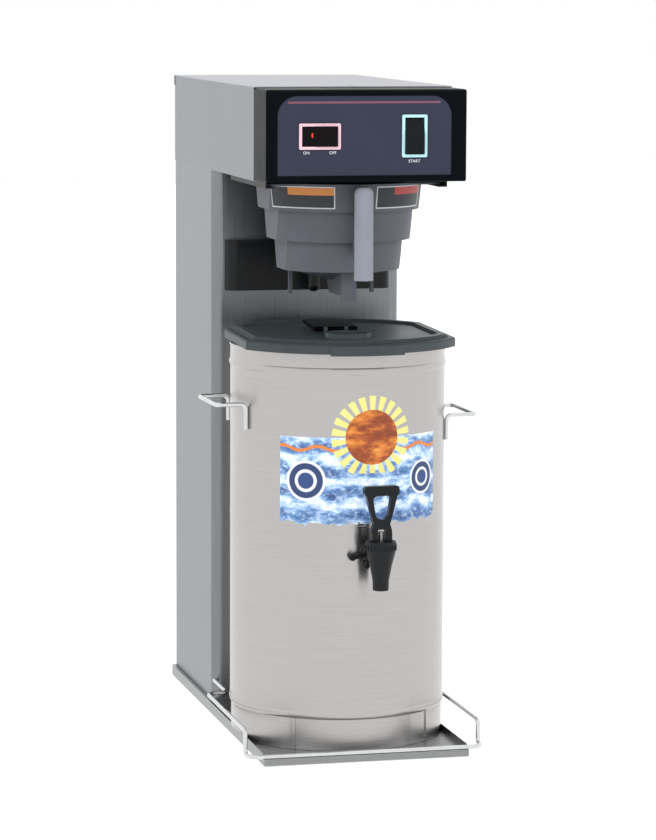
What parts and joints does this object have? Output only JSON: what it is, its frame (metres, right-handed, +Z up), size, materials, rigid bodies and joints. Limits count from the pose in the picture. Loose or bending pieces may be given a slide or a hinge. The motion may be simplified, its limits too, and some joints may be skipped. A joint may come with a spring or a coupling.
{
  "type": "iced tea brewer with dispenser",
  "caption": "Tall brewer stand with a hood, a sliding stepped brew basket, and a lidded steel dispenser can with a lever faucet on its tray.",
  "frame": {"origin": "middle of the base pan's outline, on the counter under the rubber feet", "axes": "+Z up, -Y towards the front with the switches and the faucet, +X to the right seen from the front"},
  "size_m": [0.3618, 0.6497, 0.8756],
  "materials": {
    "base_pan": "brushed stainless sheet",
    "rubber_feet": "matte black",
    "guide_rail": "bright wire",
    "trunk_wrap": "brushed stainless sheet",
    "front_panel": "brushed stainless sheet",
    "rear_panel": "brushed stainless sheet",
    "panel_screws": "pan-head screws",
    "cord_gland": "black nylon",
    "hood_shell": "brushed stainless sheet",
    "hood_bottom": "stainless sheet",
    "top_cover": "brushed stainless sheet",
    "cover_screws": "pan-head screws",
    "bezel": "satin black moulding",
    "label_panel": "dark blue-grey overlay",
    "power_switch_body": "pale pink frame",
    "power_rocker": "dark red-lit rocker",
    "start_switch_body": "pale cyan frame",
    "start_rocker": "black rocker",
    "basket_rail_left": "black moulding",
    "basket_rail_right": "black moulding",
    "sprayhead": "stainless",
    "spray_tube": "silicone",
    "nozzle_cover": "black moulding",
    "dilution_nozzle": "black moulding",
    "dilution_valve": "brass body, dark coil",
    "dilution_tube": "silicone",
    "water_tank": "stainless",
    "tank_shelf": "stainless sheet",
    "tank_gasket": "red silicone",
    "tank_lid": "stainless",
    "heating_element": "sheathed element",
    "temperature_probe": "stainless",
    "inlet_fitting": "machined brass",
    "inlet_valve": "brass body, dark coil",
    "inlet_tube": "silicone",
    "timer_board": "green circuit board",
    "terminal_block": "black moulding",
    "brew_basket": "grey moulding",
    "basket_grip": "lighter grey moulding",
    "wire_filter_basket": "plated wire",
    "can_shell": "vertically brushed stainless",
    "can_bottom": "stainless sheet",
    "can_foot_ring": "stainless sheet",
    "can_handle_left": "bright wire",
    "can_handle_right": "bright wire",
    "faucet_shank": "machined",
    "shank_washers": "dark sealing washers",
    "wing_nut": "black moulding",
    "faucet_body": "black moulding",
    "faucet_bonnet": "black moulding",
    "faucet_stem": "stainless",
    "seat_cup": "silicone seat",
    "faucet_handle": "black moulding",
    "lever_pin": "stainless",
    "can_lid": "slate-green moulding",
    "lid_flap": "glossy black moulding",
    "flap_pin": "stainless"
  },
  "bodies": {
    "stand": {"base_pan": "base_pan", "rubber_feet": "rubber_feet", "guide_rail": "guide_rail", "trunk_wrap": "trunk_wrap", "front_panel": "front_panel", "rear_panel": "rear_panel", "panel_screws": "panel_screws", "cord_gland": "cord_gland", "hood_shell": "hood_shell", "hood_bottom": "hood_bottom", "top_cover": "top_cover", "cover_screws": "cover_screws", "bezel": "bezel", "label_panel": "label_panel", "power_switch_body": "power_switch_body", "start_switch_body": "start_switch_body", "basket_rail_left": "basket_rail_left", "basket_rail_right": "basket_rail_right", "sprayhead": "sprayhead", "spray_tube": "spray_tube", "nozzle_cover": "nozzle_cover", "dilution_nozzle": "dilution_nozzle", "dilution_valve": "dilution_valve", "dilution_tube": "dilution_tube", "water_tank": "water_tank", "tank_shelf": "tank_shelf", "tank_gasket": "tank_gasket", "tank_lid": "tank_lid", "heating_element": "heating_element", "temperature_probe": "temperature_probe", "inlet_fitting": "inlet_fitting", "inlet_valve": "inlet_valve", "inlet_tube": "inlet_tube", "timer_board": "timer_board", "terminal_block": "terminal_block"},
    "power_key": {"power_rocker": "power_rocker"},
    "start_key": {"start_rocker": "start_rocker"},
    "basket": {"brew_basket": "brew_basket", "basket_grip": "basket_grip"},
    "filter": {"wire_filter_basket": "wire_filter_basket"},
    "dispenser": {"can_shell": "can_shell", "can_bottom": "can_bottom", "can_foot_ring": "can_foot_ring", "can_handle_left": "can_handle_left", "can_handle_right": "can_handle_right", "faucet_shank": "faucet_shank", "shank_washers": "shank_washers", "wing_nut": "wing_nut", "faucet_body": "faucet_body", "faucet_bonnet": "faucet_bonnet"},
    "stem": {"faucet_stem": "faucet_stem", "seat_cup": "seat_cup"},
    "lever": {"faucet_handle": "faucet_handle", "lever_pin": "lever_pin"},
    "lid": {"can_lid": "can_lid", "flap_pin": "flap_pin"},
    "flap": {"lid_flap": "lid_flap"}
  },
  "joints": [
    {"name": "power_key_tilt", "type": "hinge", "parent": "stand", "child": "power_key", "pos_m": [-0.0625, -0.2858, 0.8128], "axis": [0, 0, 1], "range_deg": [0, 18]},
    {"name": "start_key_tilt", "type": "hinge", "parent": "stand", "child": "start_key", "pos_m": [0.0625, -0.2858, 0.8128], "axis": [1, 0, 0], "range_deg": [0, 18], "stiffness_Nm_per_rad": 0.05},
    {"name": "basket_slide", "type": "slide", "parent": "stand", "child": "basket", "axis": [0, -1, 0], "range_m": [0, 0.24]},
    {"name": "filter_lift", "type": "slide", "parent": "basket", "child": "filter", "axis": [0, 0, 1], "range_m": [0, 0.055]},
    {"name": "dispenser_lift", "type": "slide", "parent": "stand", "child": "dispenser", "axis": [0, 0, 1], "range_m": [0, 0.012]},
    {"name": "lid_lift", "type": "slide", "parent": "dispenser", "child": "lid", "axis": [0, 0, 1], "range_m": [0, 0.012]},
    {"name": "flap_hinge", "type": "hinge", "parent": "lid", "child": "flap", "pos_m": [-0.00628, -0.14779, 0.552], "axis": [0.9994, -0.0349, 0], "range_deg": [0, 28]},
    {"name": "stem_lift", "type": "slide", "parent": "dispenser", "child": "stem", "axis": [0, 0, 1], "range_m": [0, 0.0055]},
    {"name": "lever_tilt", "type": "hinge", "parent": "stem", "child": "lever", "pos_m": [0.0123, -0.3216, 0.303], "axis": [0.9979, 0.0654, 0], "range_deg": [0, 40], "stiffness_Nm_per_rad": 0.15}
  ],
  "couplings": [
    {"joint": "stem_lift", "follows": "lever_tilt", "m_per_rad": 0.0072}
  ]
}
